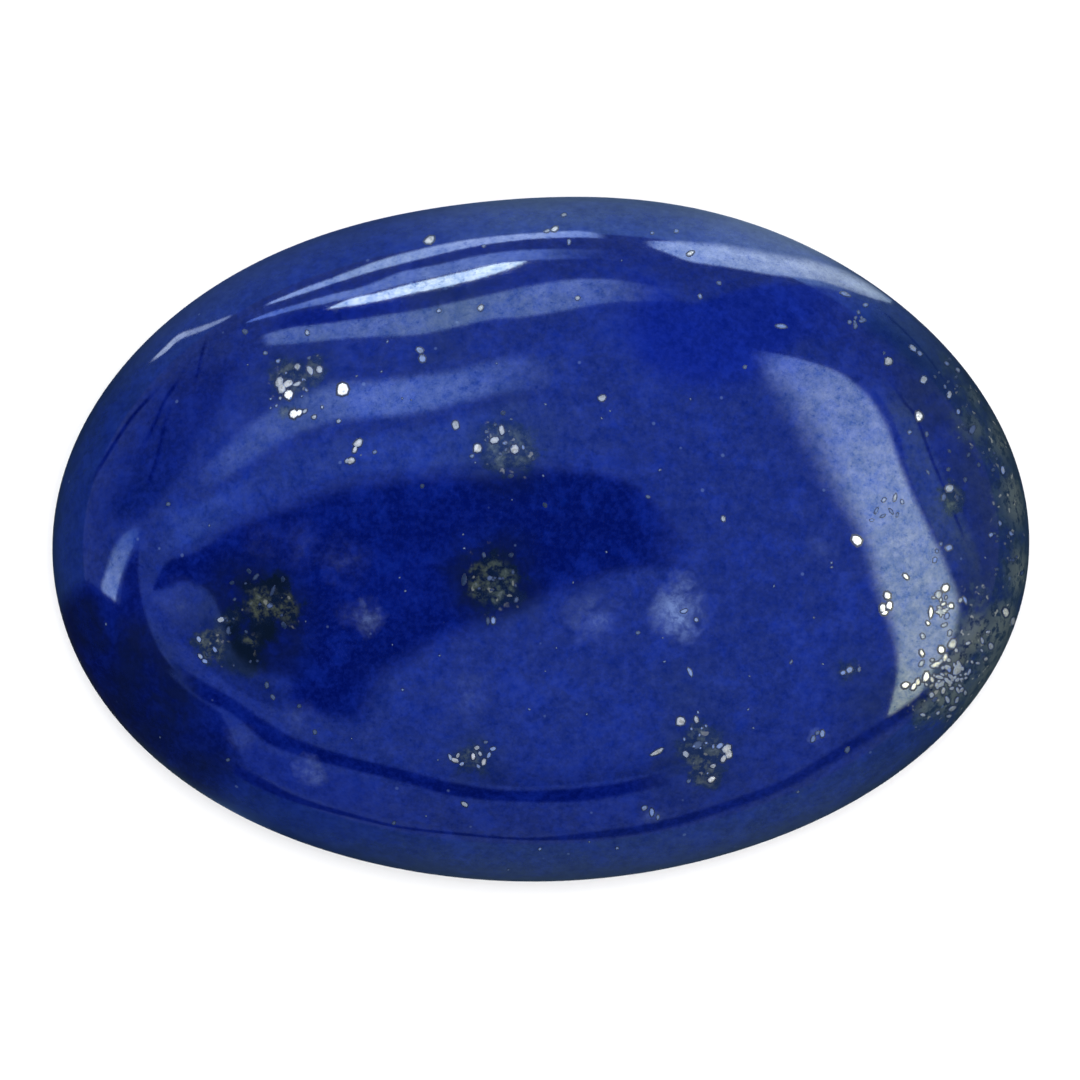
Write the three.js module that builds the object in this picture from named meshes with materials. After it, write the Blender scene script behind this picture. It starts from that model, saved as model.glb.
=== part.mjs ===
// A lapis lazuli cabochon: one oval stone with a polished dome, a low girdle and a flat back.
// Units are millimetres, +Z is up. X runs along the stone and Y across it.
// The origin is the middle of the flat back, where the stone rests.

import * as THREE from "three";

// Driving dimensions.
const LENGTH = 20;
const WIDTH = 14;
const HEIGHT = 5.2;
const GIRDLE_TOP = 1.3; // height at which the upright girdle turns into the dome
const BEVEL_HEIGHT = 0.55; // the back edge is chamfered, so that it can't chip
const BEVEL_WIDTH = 0.7; // how far the chamfer runs in at the stone's two ends
const ROUNDING = 0.16; // how far the softening reaches from each corner of the chamfer

// The dome is a flattened ellipse: 2 would be a true ellipse, and more is flatter on top
// with quicker shoulders.
const DOME_POWER = 2.4;

// A hand-cut outline strays from a true ellipse in slow waves. Each wave has a number of
// crests, a height as a share of the radius, and one crest's direction from +X in degrees.
const OUTLINE_WAVES = [
  { crests: 3, share: 0.0035, at: 77.5 },
  { crests: 4, share: 0.0045, at: 56 },
  { crests: 5, share: 0.0037, at: 59 },
];

// How finely the round forms are divided.
const STEPS_AROUND = 96;
const RINGS_UP_DOME = 26;
const STEPS_ROUND_CORNER = 4;

const STONE_COLOUR = 0x1c2e84;

const HALF_LENGTH = LENGTH / 2;
const HALF_WIDTH = WIDTH / 2;

// The outline's radius in one direction, seen from above.
function outlineRadius(angle) {
  const along = Math.cos(angle) / HALF_LENGTH;
  const across = Math.sin(angle) / HALF_WIDTH;
  let strayed = 1;
  for (const wave of OUTLINE_WAVES) {
    const crest = THREE.MathUtils.degToRad(wave.at);
    strayed += wave.share * Math.cos(wave.crests * (angle - crest));
  }
  return strayed / Math.hypot(along, across);
}

// Height of the dome above the girdle, at a share of the outline's radius.
function domeRise(share) {
  return (HEIGHT - GIRDLE_TOP) * Math.pow(1 - share * share, 1 / DOME_POWER);
}

// The points of a corner that polishing has softened, between the points before and after it.
function softCorner(before, corner, after) {
  const towards = (point) => point.clone().sub(corner).setLength(ROUNDING).add(corner);
  const curve = new THREE.QuadraticBezierCurve(towards(before), corner, towards(after));
  return curve.getPoints(STEPS_ROUND_CORNER);
}

// The stone's section along one half of its length, from the middle of the back, round the
// girdle, to the top of the dome.
function halfSection() {
  const middle = new THREE.Vector2(0, 0);
  const backEdge = new THREE.Vector2(HALF_LENGTH - BEVEL_WIDTH, 0);
  const girdleFoot = new THREE.Vector2(HALF_LENGTH, BEVEL_HEIGHT);
  const girdleTop = new THREE.Vector2(HALF_LENGTH, GIRDLE_TOP);
  const section = [
    middle,
    ...softCorner(middle, backEdge, girdleFoot),
    ...softCorner(backEdge, girdleFoot, girdleTop),
  ];
  // Equal steps of a quarter turn crowd the rings towards the shoulder, where the dome
  // bends most.
  for (let ring = 0; ring < RINGS_UP_DOME; ring++) {
    const share = Math.cos(((ring / RINGS_UP_DOME) * Math.PI) / 2);
    section.push(new THREE.Vector2(HALF_LENGTH * share, GIRDLE_TOP + domeRise(share)));
  }
  section.push(new THREE.Vector2(0, HEIGHT));
  return section;
}

// The section is turned into a round stone, and each ring is then drawn in to the outline.
function cabochonGeometry() {
  const geometry = new THREE.LatheGeometry(halfSection(), STEPS_AROUND);
  geometry.rotateX(Math.PI / 2);
  const places = geometry.getAttribute("position");
  for (let i = 0; i < places.count; i++) {
    const angle = Math.atan2(places.getY(i), places.getX(i));
    const drawnIn = outlineRadius(angle) / HALF_LENGTH;
    places.setX(i, places.getX(i) * drawnIn);
    places.setY(i, places.getY(i) * drawnIn);
  }
  // The waves move the outline's middle a little, and the origin stays in the middle.
  geometry.computeBoundingBox();
  const middle = geometry.boundingBox.getCenter(new THREE.Vector3());
  geometry.translate(-middle.x, -middle.y, 0);
  geometry.computeVertexNormals();
  return geometry;
}

const polishedLapis = new THREE.MeshStandardMaterial({
  name: "polished_lapis",
  color: STONE_COLOUR,
  roughness: 0.12,
  metalness: 0,
});

const cabochon = new THREE.Mesh(cabochonGeometry(), polishedLapis);
cabochon.name = "cabochon";

const stone = new THREE.Group();
stone.add(cabochon);

export default stone;
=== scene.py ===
# %% [markdown]
# # An oval cabochon of lapis lazuli
# Lapis lazuli is a rock, not one mineral: deep blue lazurite, clouded with pale calcite,
# spotted with dark matrix and sprinkled with brassy pyrite. A cabochon is a piece of such
# rock that was ground to a smooth dome on a flat back and then polished.
# The stone's solid is already made, at its real size and in its place. It is loaded first,
# and nothing here moves or changes it: the fine stone is made round the same measures.

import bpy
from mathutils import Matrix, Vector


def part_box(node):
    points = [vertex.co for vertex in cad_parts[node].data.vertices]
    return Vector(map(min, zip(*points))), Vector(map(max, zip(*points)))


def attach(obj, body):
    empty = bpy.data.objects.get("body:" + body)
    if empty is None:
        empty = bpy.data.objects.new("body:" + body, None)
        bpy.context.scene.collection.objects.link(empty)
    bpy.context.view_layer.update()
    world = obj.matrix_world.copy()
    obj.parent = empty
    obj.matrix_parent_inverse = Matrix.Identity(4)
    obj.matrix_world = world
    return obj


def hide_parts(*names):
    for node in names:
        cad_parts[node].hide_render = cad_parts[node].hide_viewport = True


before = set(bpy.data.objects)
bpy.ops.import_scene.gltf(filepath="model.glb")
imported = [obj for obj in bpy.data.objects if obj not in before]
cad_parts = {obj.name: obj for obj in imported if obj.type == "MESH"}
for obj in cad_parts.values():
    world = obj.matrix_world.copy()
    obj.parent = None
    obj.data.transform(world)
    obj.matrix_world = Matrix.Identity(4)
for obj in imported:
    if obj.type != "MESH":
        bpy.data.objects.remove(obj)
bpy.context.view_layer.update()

# %% [markdown]
# ## Units and measures
# Blender works in metres, and a stone is measured in millimetres. Lengths are written in
# millimetres here and multiplied by MM where they become places in the scene. The solid
# was made from the same measures, so the two fit without any fitting.

# %% Units and measures
import math
import random

import bmesh
import bpy
from mathutils import Matrix, Vector

MM = 0.001
HALF_LENGTH = 10.0
HALF_WIDTH = 7.0
HEIGHT = 5.2
GIRDLE_TOP = 1.3
BEVEL_HEIGHT = 0.55
BEVEL_WIDTH = 0.7
ROUNDING = 0.16
solid_low, solid_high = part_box("cabochon")
print("the solid measures", [round(side / MM, 3) for side in solid_high - solid_low], "mm")

# %% [markdown]
# ## The camera
# A cabochon is pictured from straight above, so that its outline and pattern are seen at
# their true shape. From close by, with a wide lens, the dome would bulge towards the eye,
# so a long lens looks down from 160 mm. The camera is turned by a degree and a half, so
# that the stone lies a little askew in the view. The lens follows from the width that the
# view has to hold at the height of the girdle.

# %% Camera
VIEW_WIDTH = 22.06
VIEW_STEPS = 1080
VIEW_TURN = math.radians(1.46)
EYE = Vector((-0.014, -0.01, 160.0))

camera_data = bpy.data.cameras.new("camera")
camera = bpy.data.objects.new("camera", camera_data)
bpy.context.collection.objects.link(camera)
camera.location = EYE * MM
camera.rotation_euler = (0, 0, -VIEW_TURN)
camera_data.lens = camera_data.sensor_width * (EYE.z - GIRDLE_TOP) / VIEW_WIDTH
camera_data.clip_start = 0.01
camera_data.clip_end = 10
bpy.context.scene.camera = camera
bpy.context.scene.view_settings.view_transform = "Standard"
print("camera with a lens of", round(camera_data.lens), "mm")

# %% [markdown]
# ## The form of the stone
# The stone was cut by hand, and its outline strays from a true ellipse in slow waves. Its
# dome is a flattened ellipse: flat on top, with quick shoulders that drop into an upright
# girdle. Both are written as formulas and not drawn, so that the stone's rings, the grains
# that are set into its surface and the lights that it mirrors all use one form.

# %% Outline and dome
OUTLINE_WAVES = [
    {"crests": 3, "share": 0.0035, "at": 77.5},
    {"crests": 4, "share": 0.0045, "at": 56.0},
    {"crests": 5, "share": 0.0037, "at": 59.0},
]
DOME_POWER = 2.4


def stray(angle):
    """How far the outline lies out from the ellipse in one direction, as a factor."""
    waves = [
        wave["share"] * math.cos(wave["crests"] * (angle - math.radians(wave["at"])))
        for wave in OUTLINE_WAVES
    ]
    return 1 + sum(waves)


def outline_point(angle):
    """A point of the outline, seen from above."""
    radius = stray(angle) / math.hypot(math.cos(angle) / HALF_LENGTH, math.sin(angle) / HALF_WIDTH)
    return Vector((radius * math.cos(angle), radius * math.sin(angle)))


def middle_of(points):
    """The middle of the box round some points."""
    sides = [[point[axis] for point in points] for axis in range(2)]
    return Vector([(min(side) + max(side)) / 2 for side in sides])


MIDDLE = middle_of([outline_point(math.radians(degrees)) for degrees in range(360)])


def share_of_radius(x, y):
    """How far out a place lies, from 0 in the middle to 1 on the outline."""
    across = Vector((x, y)) + MIDDLE
    angle = math.atan2(across.y, across.x)
    return across.length / outline_point(angle).length


def dome_height(share):
    """Height of the surface above the back, at a share of the outline's radius."""
    return GIRDLE_TOP + (HEIGHT - GIRDLE_TOP) * max(0.0, 1 - share * share) ** (1 / DOME_POWER)


def on_dome(x, y):
    """The point of the dome above a place, in millimetres."""
    return Vector((x, y, dome_height(share_of_radius(x, y))))


def dome_normal(x, y):
    """The direction in which the dome faces above a place."""
    step = 0.01
    along = on_dome(x + step, y) - on_dome(x - step, y)
    across = on_dome(x, y + step) - on_dome(x, y - step)
    return along.cross(across).normalized()


print("the outline's middle is off by", [round(side, 4) for side in MIDDLE], "mm")

# %% [markdown]
# ## The stone
# A cutter saws the oval from a flat slab, grinds a bevel and a girdle round it, and then
# takes the dome down ring by ring. A profile could be spun and then stretched, but its
# outline would still have to be drawn in. So the mesh is made as the cutter works: a disc
# is drawn to the outline, and its face is raised ring by ring along the section, each ring
# drawn in to its share of the outline.

# %% Helpers for modelling by hand
def deselect_all():
    """Nothing stays selected, so that an operator meets only what comes next."""
    bpy.ops.object.select_all(action="DESELECT")


def select_only(*pieces):
    """The given pieces are selected, and the first of them is active."""
    deselect_all()
    for piece in pieces:
        piece.select_set(True)
    bpy.context.view_layer.objects.active = pieces[0]


def extrude_up(height):
    """What is selected is extruded straight up, by a height in millimetres."""
    lift = (0, 0, height * MM)
    bpy.ops.mesh.extrude_region_move(TRANSFORM_OT_translate={"value": lift})


def draw_in(share):
    """What is selected is drawn in to a share of its width, towards the middle."""
    bpy.ops.transform.resize(value=(share, share, 1), center_override=(0, 0, 0))


def soft_corner(before, corner, after, steps):
    """Points of a corner that polishing has rounded, on a quadratic curve."""
    start = corner + (before - corner).normalized() * ROUNDING
    end = corner + (after - corner).normalized() * ROUNDING
    turns = [step / steps for step in range(steps + 1)]
    return [start * (1 - t) ** 2 + corner * (2 * t * (1 - t)) + end * t ** 2 for t in turns]


# %% The stone's section
RINGS_UP_DOME = 120
STEPS_AROUND = 360
STEPS_ROUND_CORNER = 8


def half_section():
    """Shares of the outline's radius, each with its height, from the back to the top."""
    middle = Vector((0, 0))
    back_edge = Vector((HALF_LENGTH - BEVEL_WIDTH, 0))
    girdle_foot = Vector((HALF_LENGTH, BEVEL_HEIGHT))
    girdle_top = Vector((HALF_LENGTH, GIRDLE_TOP))
    # Two more rings on the flat back keep its middle apart from the bevel's soft corner.
    section = [back_edge * 0.9, back_edge - Vector((ROUNDING * 1.2, 0))]
    section += soft_corner(middle, back_edge, girdle_foot, STEPS_ROUND_CORNER)
    section += soft_corner(back_edge, girdle_foot, girdle_top, STEPS_ROUND_CORNER)
    rings = [(point.x / HALF_LENGTH, point.y) for point in section]
    for ring in range(RINGS_UP_DOME):
        share = math.cos(ring / RINGS_UP_DOME * math.pi / 2)
        rings.append((share, dome_height(share)))
    return rings


rings = half_section()
print(len(rings), "rings from the back to the top")

# %% Draw the outline
deselect_all()
bpy.ops.mesh.primitive_circle_add(
    vertices=STEPS_AROUND, radius=HALF_LENGTH * MM, fill_type="NGON", location=(0, 0, 0)
)
stone = bpy.context.object
stone.name = "polished_stone"
bpy.ops.object.mode_set(mode="EDIT")
bpy.ops.mesh.select_mode(type="VERT")
outline = bmesh.from_edit_mesh(stone.data)
for vertex in outline.verts:
    bpy.ops.mesh.select_all(action="DESELECT")
    vertex.select_set(True)
    draw_in(outline_point(math.atan2(vertex.co.y, vertex.co.x)).length / HALF_LENGTH)
print("outline of", len(outline.verts), "points")

# %% Raise the rings
bpy.ops.mesh.select_mode(type="FACE")
bpy.ops.mesh.select_all(action="SELECT")
first_share = rings[0][0]
draw_in(first_share)
for (share, height), (next_share, next_height) in zip(rings, rings[1:]):
    extrude_up(next_height - height)
    draw_in(next_share / share)
last_height = rings[-1][1]
extrude_up(HEIGHT - last_height)
bpy.ops.mesh.merge(type="CENTER")
bpy.ops.mesh.select_all(action="SELECT")
bpy.ops.transform.translate(value=(-MIDDLE.x * MM, -MIDDLE.y * MM, 0))
bpy.ops.mesh.remove_doubles(threshold=0.0001 * MM)
bpy.ops.mesh.normals_make_consistent(inside=False)
bpy.ops.object.mode_set(mode="OBJECT")
bpy.ops.object.shade_smooth()
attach(stone, "root")
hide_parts("cabochon")
print("stone of", len(stone.data.polygons), "faces")

# %% [markdown]
# ## Finishes
# A finish is a net of shader nodes. Nodes could be placed one by one, but a pattern reads
# far better as a sum: a Reading wraps a socket, and adding or multiplying readings adds the
# Math nodes. Colours and places go through Mix and Vector Math, because a Math node would
# turn them grey.

# %% Shader sums
class Reading:
    """What a socket gives, which can be reckoned with as a number can."""

    def __init__(self, net, socket):
        self.net = net
        self.socket = socket

    def reckon(self, operation, first, second):
        return self.net.node("Math", {"operation": operation}, {0: first, 1: second})

    def __add__(self, other):
        return self.reckon("ADD", self, other)

    def __radd__(self, other):
        return self.reckon("ADD", other, self)

    def __sub__(self, other):
        return self.reckon("SUBTRACT", self, other)

    def __rsub__(self, other):
        return self.reckon("SUBTRACT", other, self)

    def __mul__(self, other):
        return self.reckon("MULTIPLY", self, other)

    def __rmul__(self, other):
        return self.reckon("MULTIPLY", other, self)

    def at_least(self, other):
        return self.reckon("MAXIMUM", self, other)

    def power(self, other):
        return self.reckon("POWER", self, other)

    def also(self, output):
        """Another output of the same node."""
        return Reading(self.net, self.socket.node.outputs[output])

    def between(self, low, high):
        """0 below the low value, 1 above the high one, and a soft step in between."""
        inputs = {"Value": self, "From Min": low, "From Max": high}
        return self.net.node("MapRange", {"interpolation_type": "SMOOTHSTEP"}, inputs)


class Net:
    """A net of shader nodes."""

    def __init__(self, tree):
        self.tree = tree

    def connect(self, value, socket):
        """A socket gets another one's reading, a colour or a plain value."""
        if isinstance(value, Reading):
            self.tree.links.new(value.socket, socket)
        elif socket.type == "RGBA":
            socket.default_value = (*value, 1)
        else:
            socket.default_value = value

    def node(self, kind, settings, inputs, output=0):
        """Any node: its settings come first, and then what its sockets get."""
        node = self.tree.nodes.new("ShaderNode" + kind)
        for setting, value in settings.items():
            setattr(node, setting, value)
        for name, value in inputs.items():
            self.connect(value, node.inputs[name])
        return Reading(self, node.outputs[output])

    def mix(self, factor, first, second):
        """A colour between two, by a factor from 0 to 1."""
        settings = {"data_type": "RGBA"}
        return self.node("Mix", settings, {"Factor": factor, 6: first, 7: second}, output=2)

    def vector(self, operation, first, second, output=0):
        """Vector Math, which keeps places whole."""
        return self.node("VectorMath", {"operation": operation}, {0: first, 1: second}, output)

    def part(self, vector, axis):
        """One number of a vector: its X, Y or Z."""
        return self.node("SeparateXYZ", {}, {"Vector": vector}, axis)

    def principled(self, inputs):
        """The shader that most finishes are made with."""
        return self.node("BsdfPrincipled", {}, inputs)

    def finish(self, kind, shader):
        """The shader goes to the material's or the world's output."""
        end = self.tree.nodes.new("ShaderNodeOutput" + kind)
        self.tree.links.new(shader.socket, end.inputs["Surface"])


# %% A material's net
class Finish(Net):
    """A material's net, which is reckoned in millimetres on the piece."""

    def __init__(self, name):
        self.material = bpy.data.materials.new(name)
        self.material.use_nodes = True
        super().__init__(self.material.node_tree)
        self.tree.nodes.clear()
        self.place = self.vector("MULTIPLY", self.node("TexCoord", {}, {}, "Object"), (1000,) * 3)

    def noise(self, per_mm, detail=2.0, roughness=0.5, where=None, output=0):
        """Soft random patches, so many to a millimetre."""
        inputs = {
            "Vector": where or self.place,
            "Scale": per_mm,
            "Detail": detail,
            "Roughness": roughness,
        }
        return self.node("TexNoise", {}, inputs, output)

    def astray(self, per_mm, reach, where=None):
        """Places that are pushed about, so that a round patch gets a ragged edge."""
        push = self.noise(per_mm, 3.0, 0.55, where, output="Color")
        centred = self.vector("SUBTRACT", push, (0.5, 0.5, 0.5))
        return self.vector("ADD", where or self.place, self.vector("MULTIPLY", centred, (reach,) * 3))


print("a net reckons with", [name for name in vars(Reading) if name.startswith("__r")])

# %% [markdown]
# ## Pointing at the stone
# Clouds and grains lie where they grew. The easiest way to place such a thing is to point
# at it in the camera's view, which is 1080 steps wide and 1080 high, and to let the form of
# the dome say where that place is on the stone.

# %% From the view to the dome
VIEW_STEP = VIEW_WIDTH / VIEW_STEPS
SIGHT_ROUNDS = 5
OUTERMOST = 0.998


def seen_at(right, down):
    """The place on the dome at a step of the view, counted from its upper left corner."""
    level = Vector((right - VIEW_STEPS / 2, VIEW_STEPS / 2 - down)) * VIEW_STEP
    level.rotate(Matrix.Rotation(-VIEW_TURN, 2))
    place = level
    # The dome's height shifts a place in the view, and each round comes nearer to it.
    for _ in range(SIGHT_ROUNDS):
        shrink = (EYE.z - on_dome(place.x, place.y).z) / (EYE.z - GIRDLE_TOP)
        place = EYE.xy + level * shrink
        rim = share_of_radius(place.x, place.y) / OUTERMOST
        if rim > 1:
            place = place / rim
    return place


print("a step of the view is", round(VIEW_STEP, 4), "mm")
print("the middle step is at", tuple(seen_at(540, 540)))

# %% [markdown]
# ## The rock
# The blue is lazurite in grains too small to see, so it shows as a soft mottle on several
# scales at once. Calcite lies in it as pale clouds, and an iron-rich matrix as greenish
# black spots with a grey net of fine grains inside. All of it is a pattern in space, read
# from the piece's own coordinates, so it runs through the stone and comes out on the girdle
# and the back as well. An image would stop at the edge of what it shows.

# %% Clouds and spots
# Each patch: steps right and down in the view, its radius in millimetres and its strength.
# First come the clouds of calcite.
PALE_CLOUDS = [
    (680, 614, 0.70, 1.35), (678, 590, 0.44, 0.85), (594, 618, 0.62, 0.42), (368, 617, 0.44, 0.60),
    (352, 614, 0.34, 0.20), (308, 771, 0.42, 0.80), (300, 720, 0.50, 0.18), (178, 602, 0.60, 0.16),
    (241, 738, 0.42, 0.18), (469, 695, 0.62, 0.24), (654, 815, 0.24, 0.50), (816, 737, 0.24, 0.95),
    (822, 548, 0.44, 0.18), (345, 562, 0.60, 0.15), (300, 545, 0.60, 0.10), (262, 540, 0.50, 0.10),
    (250, 428, 0.60, 0.08),
]
# Spots of dark matrix, with a grey net inside.
DARK_SPOTS = [
    (494, 582, 0.78, 1.0), (284, 606, 0.50, 0.95), (213, 644, 0.56, 0.9), (263, 606, 0.56, 0.9),
    (250, 640, 0.34, 0.6), (232, 618, 0.36, 0.6), (702, 750, 0.66, 1.0), (696, 734, 0.46, 0.7),
    (707, 774, 0.50, 1.0), (508, 448, 0.80, 0.85), (530, 452, 0.50, 0.5), (290, 378, 0.60, 0.8),
    (314, 372, 0.44, 0.8), (472, 757, 0.50, 0.7), (849, 672, 0.36, 0.5), (950, 498, 0.44, 0.8),
    (290, 414, 0.30, 0.6),
]
# The darkest matrix, which has no net.
DARK_HOLLOWS = [
    (272, 592, 0.60, 1.0), (250, 590, 0.60, 0.5), (262, 630, 0.56, 0.95), (243, 654, 0.66, 1.0),
    (228, 624, 0.50, 0.85), (472, 760, 0.34, 0.6),
]
# Blue that is darker: a stain, mostly round the matrix, and painted shade along the lower left rim,
# which turns away from the light.
DUSKY_STAIN_AND_SHADE = [
    (505, 445, 1.5, 0.9), (493, 578, 1.35, 1.4), (250, 618, 1.7, 1.6), (450, 292, 1.3, 0.9),
    (438, 350, 1.1, 0.6), (700, 755, 1.5, 0.9), (472, 757, 1.1, 0.7), (880, 700, 1.3, 0.7),
    (300, 380, 1.4, 0.8), (850, 672, 0.9, 0.7), (690, 690, 1.2, 0.5), (1000, 470, 2.0, 1.4),
    (1010, 560, 1.8, 1.4), (985, 590, 1.2, 1.4), (960, 390, 1.7, 1.5), (920, 350, 1.3, 1.1),
    (880, 320, 1.0, 0.6), (85, 625, 0.9, 1.2), (138, 648, 0.9, 1.3), (150, 700, 1.6, 1.5),
    (200, 760, 1.0, 0.7), (930, 400, 1.2, 1.2),
]
# The grey green rock at the stone's right end.
RIM_ROCK = [
    (1008, 680, 1.9, 1.0), (1002, 630, 1.2, 1.0), (950, 690, 1.1, 0.9), (974, 640, 0.9, 1.0),
    (980, 604, 0.7, 0.55), (960, 664, 0.6, 1.0), (925, 705, 0.7, 0.7), (1020, 570, 1.0, 1.0),
    (1016, 500, 1.1, 0.9), (1002, 440, 1.2, 0.75), (972, 425, 0.8, 0.6), (975, 395, 0.9, 0.6),
    (950, 365, 0.6, 0.5),
]


def patches(net, places, where):
    """How deep a place lies in the nearest patch: 0 at its edge and its strength inside."""
    deepest = None
    for right, down, radius, strength in places:
        centre = on_dome(*seen_at(right, down))
        away = net.vector("DISTANCE", where, tuple(centre), "Value")
        depth = strength - away * (strength / radius)
        deepest = depth if deepest is None else deepest.at_least(depth)
    return deepest


print(len(PALE_CLOUDS), "clouds,", len(DARK_SPOTS), "dark spots")

# %% The blue
# The drifted places give patches a wavering edge, and the ragged ones a torn edge.
rock = Finish("polished_lapis")
drifted = rock.astray(0.9, 0.8)
ragged = rock.astray(2.6, 0.50)

slow = rock.noise(0.3, 2.0, 0.5, drifted)
mottle = rock.noise(1.9, 4.0, 0.62, drifted)
grain = rock.noise(9.0, 3.0, 0.6)
powder = rock.noise(26.0, 1.0)

tone = slow * 0.4 + mottle * 0.42 + grain * 0.18
blue = rock.mix(tone.between(0.42, 0.60), (0.0002, 0.0028, 0.062), (0.0007, 0.0046, 0.090))
blue = rock.mix(mottle.between(0.48, 0.70) * 0.45, blue, (0.0022, 0.0105, 0.142))
blue = rock.mix(grain.between(0.42, 0.62) * 0.07, blue, (0.014, 0.034, 0.34))
blue = rock.mix(powder.between(0.45, 0.70) * 0.04, blue, (0.012, 0.030, 0.28))
print("the blue takes", len(rock.tree.nodes), "nodes")

# %% Dusky stain, painted shade and clouds
dusk_patchy = rock.noise(2.2, 3.0, 0.6, drifted)
# The darker blue is a stain round the matrix and, at the lower left rim, painted shade.
stain_and_shade = patches(rock, DUSKY_STAIN_AND_SHADE, drifted).between(0.0, 0.8) * dusk_patchy.between(0.05, 0.65)
blue = rock.mix(stain_and_shade * 0.80, blue, (0.0022, 0.0050, 0.026))

cloud_depth = patches(rock, PALE_CLOUDS, ragged).at_least(0)
cloud_net = rock.noise(6.0, 4.0, 0.7, ragged)
cloud_break = dusk_patchy.between(0.34, 0.62) * 0.8 + 0.2
cloud = cloud_depth * cloud_break * (cloud_net.between(0.30, 0.70) * 0.9 + 0.42)
blue = rock.mix(cloud * 0.80, blue, (0.085, 0.125, 0.27))
print("with", len(DUSKY_STAIN_AND_SHADE), "dusky parts and the clouds it is", len(rock.tree.nodes), "nodes")

# %% Dark matrix
speck = rock.noise(4.6, 4.0, 0.66)
rim_depth = patches(rock, RIM_ROCK, drifted)
rim_rock = (rim_depth + (speck - 0.5) * 1.1).between(0.10, 0.52)
spot_depth = patches(rock, DARK_SPOTS, ragged)
spot = (spot_depth + (speck - 0.5) * 1.0).between(0.10, 0.42)
hollow = (patches(rock, DARK_HOLLOWS, ragged) + (speck - 0.5) * 0.6).between(0.12, 0.60)
fine_net = rock.noise(5.2, 4.0, 0.66)
net_of_grains = fine_net.between(0.45, 0.62) * spot_depth.between(0.20, 0.55)
grey = rock.mix(slow.between(0.42, 0.58), (0.024, 0.034, 0.032), (0.028, 0.035, 0.027))
grey = rock.mix(fine_net.between(0.60, 0.72), grey, (0.055, 0.068, 0.075))
matrix = rock.mix(net_of_grains, (0.0018, 0.0052, 0.018), grey)
rim_grey = rock.mix(rim_depth.between(0.3, 0.8), (0.012, 0.021, 0.038), (0.062, 0.075, 0.066))
rim_matrix = rock.mix(fine_net.between(0.38, 0.54), (0.0035, 0.0070, 0.017), rim_grey)
colour = rock.mix(rim_rock, blue, rim_matrix)
colour = rock.mix(hollow, colour, (0.0018, 0.0048, 0.014))
colour = rock.mix(spot, colour, matrix)
print("with the dark matrix it is", len(rock.tree.nodes), "nodes")


# %% Flecks
# Single flecks of calcite lie all over the blue, and pyrite dust lies in the dark matrix.
def specks(net, per_mm, radius, share, where):
    """Small round specks, strewn evenly. Only a share of the places for one is taken."""
    away = net.node("TexVoronoi", {}, {"Vector": where, "Scale": per_mm}, "Distance")
    pick = net.part(away.also("Color"), "X")
    return (1 - away.between(radius * 0.5, radius)) * pick.between(1 - share, 1.02 - share)


fleck = specks(rock, 2.1, 0.10, 0.34, rock.place)
colour = rock.mix(fleck * 0.40, colour, (0.07, 0.11, 0.24))
dust = specks(rock, 6.0, 0.34, 0.30, ragged) * (spot * 0.5).at_least(rim_rock)
colour = rock.mix(dust * 0.8, colour, (0.20, 0.21, 0.19))

# %% Polish
# Softer rock takes a duller polish. The skin is the last thin gloss over all of it, which
# is uneven and broken by pits.
softer = (spot * 0.8).at_least(rim_rock * 0.45)
pits = rock.noise(10.0, 2.0, 0.7).between(0.58, 0.66)
uneven = rock.noise(3.5, 4.0, 0.85)
roughness = 0.05 + softer * 0.16 + pits * 0.06
skin = (0.27 + (uneven - 0.5) * 1.4 - pits * 0.14).at_least(0)
waves = rock.noise(5.0, 2.0) * 0.0004 + rock.noise(14.0, 2.0) * 0.00012
normal = rock.node("Bump", {}, {"Strength": 1.0, "Distance": MM, "Height": waves})
polished = {
    "Base Color": colour,
    "Roughness": roughness,
    "Normal": normal,
    "Coat Weight": skin,
    "Coat Roughness": 0.06,
    "IOR": 1.5,
    "Specular Tint": (0.17, 0.33, 0.77),
}
rock.finish("Material", rock.principled(polished))
stone.data.materials.append(rock.material)
print("the whole rock takes", len(rock.tree.nodes), "nodes")

# %% [markdown]
# ## Pyrite grains
# Pyrite is much harder than the blue rock. Where a grain comes to the surface, the polish
# leaves it flat and a hair proud, in a thin dark seam.
# The grains could be painted into the finish, but then they would lie dead flat. They are
# little chips of mesh: a few shapes are modelled once, each is copied with its own mesh,
# stretched and turned, and the copies are set on the dome by its formula.

# %% Finish of the grains
# A grain's painted glint decides its colour: dull below 0, then pale, silvery and cream,
# and near 1 a bright colour that is a painted glint, as if the grain caught the light.
pyrite = Finish("pyrite")
# Each grain's painted glint is read from its points.
painted_glint = pyrite.node("Attribute", {"attribute_name": "painted_glint"}, {}, "Fac")
stained = pyrite.noise(12.0, 3.0, 0.6)
dull = pyrite.mix(painted_glint.between(-0.45, 0.05), (0.004, 0.012, 0.036), (0.045, 0.068, 0.14))
pale = pyrite.mix(painted_glint.between(0.02, 0.24), dull, (0.11, 0.17, 0.37))
silvery = pyrite.mix(painted_glint.between(0.24, 0.38), pale, (0.20, 0.23, 0.27))
cream = pyrite.mix(painted_glint.between(0.5, 0.75), silvery, (0.38, 0.37, 0.33))
bright = pyrite.mix(painted_glint.between(0.7, 0.95), cream, (0.70, 0.68, 0.60))
stain = pyrite.mix(painted_glint.between(-0.05, 0.25), (0.02, 0.034, 0.08), (0.10, 0.10, 0.09))
ground = pyrite.mix(stained.between(0.46, 0.66) * 0.55, bright, stain)
pyrite_bump = pyrite.node("Bump", {}, {"Strength": 1.0, "Distance": MM, "Height": stained * 0.006})
ground_flat = {
    "Base Color": ground,
    "Metallic": painted_glint.between(0.3, 0.8) * 0.5,
    "Roughness": 0.26 + stained * 0.2,
    "Specular IOR Level": 0.1,
    "Normal": pyrite_bump,
}
pyrite.finish("Material", pyrite.principled(ground_flat))

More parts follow.
